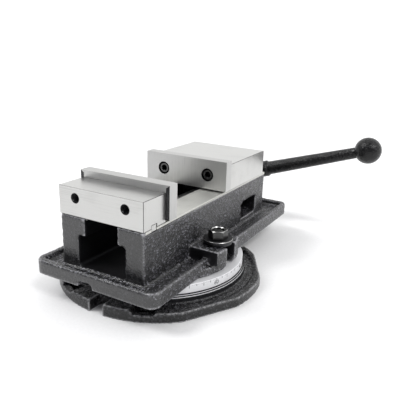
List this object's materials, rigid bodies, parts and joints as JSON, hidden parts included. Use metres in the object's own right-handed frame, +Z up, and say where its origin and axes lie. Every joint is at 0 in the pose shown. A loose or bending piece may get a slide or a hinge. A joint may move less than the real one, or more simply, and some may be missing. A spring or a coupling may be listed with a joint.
{
  "type": "milling machine vise",
  "caption": "Machine vise with ground jaws on a bolt-down swivel base; a crank turns a screw that slides the moving jaw along the bed.",
  "frame": {"origin": "on the swivel axis, on the plane that the base stands on", "axes": "+Z up along the swivel axis; +Y along the screw from the fixed jaw towards the crank; +X to the right, the side the crank's arm points to at rest"},
  "size_m": [0.2813, 0.3513, 0.1323],
  "materials": {
    "black_cast_paint": "semi-gloss black paint on rough sand-cast iron",
    "ground_steel": "surface-ground, fine straight grain",
    "turned_steel": "turned bright steel",
    "dark_steel": "dark, plain steel",
    "black_oxide": "black oxide on alloy steel",
    "bearing_bronze": "turned bronze",
    "bare_iron": "machined cast iron, oiled"
  },
  "bodies": {
    "base": {"swivel_base": "black_cast_paint", "swivel_pivot_pin": "turned_steel"},
    "vise_body": {"body_casting": "black_cast_paint", "t_bolt_right": "dark_steel", "t_bolt_left": "dark_steel", "clamp_washer_right": "dark_steel", "clamp_washer_left": "dark_steel", "clamp_nut_right": "turned_steel", "clamp_nut_left": "turned_steel", "fixed_jaw_block": "ground_steel", "fixed_jaw_plate": "ground_steel", "fixed_plate_screw_right": "black_oxide", "fixed_plate_screw_left": "black_oxide", "fixed_jaw_bolt_right": "black_oxide", "fixed_jaw_bolt_left": "black_oxide", "fixed_jaw_key_right": "ground_steel", "fixed_jaw_key_left": "ground_steel", "thrust_race_front": "turned_steel", "thrust_ball_cage": "bearing_bronze", "thrust_race_rear": "turned_steel", "screw_bush": "bearing_bronze"},
    "moving_jaw": {"moving_jaw_block": "ground_steel", "moving_jaw_plate": "ground_steel", "moving_plate_screw_right": "black_oxide", "moving_plate_screw_left": "black_oxide", "jaw_nut": "bare_iron", "half_ball": "turned_steel", "jaw_set_screw": "black_oxide"},
    "screw": {"lead_screw": "turned_steel", "screw_collar": "turned_steel", "collar_set_screw": "black_oxide"},
    "crank": {"crank_handle": "black_cast_paint", "crank_ball": "black_cast_paint"}
  },
  "joints": [
    {"name": "body_swivel", "type": "hinge", "parent": "base", "child": "vise_body", "pos_m": [0, 0, 0], "axis": [0, 0, 1], "continuous": true},
    {"name": "screw_turn", "type": "hinge", "parent": "vise_body", "child": "screw", "pos_m": [0, 0.16, 0.066], "axis": [0, -1, 0], "range_deg": [0, 6840]},
    {"name": "jaw_slide", "type": "slide", "parent": "vise_body", "child": "moving_jaw", "axis": [0, -1, 0], "range_m": [0, 0.0951]},
    {"name": "crank_pull", "type": "slide", "parent": "screw", "child": "crank", "axis": [0, 1, 0], "range_m": [0, 0.04]}
  ],
  "couplings": [
    {"joint": "jaw_slide", "follows": "screw_turn", "m_per_rad": 0.00079577}
  ]
}
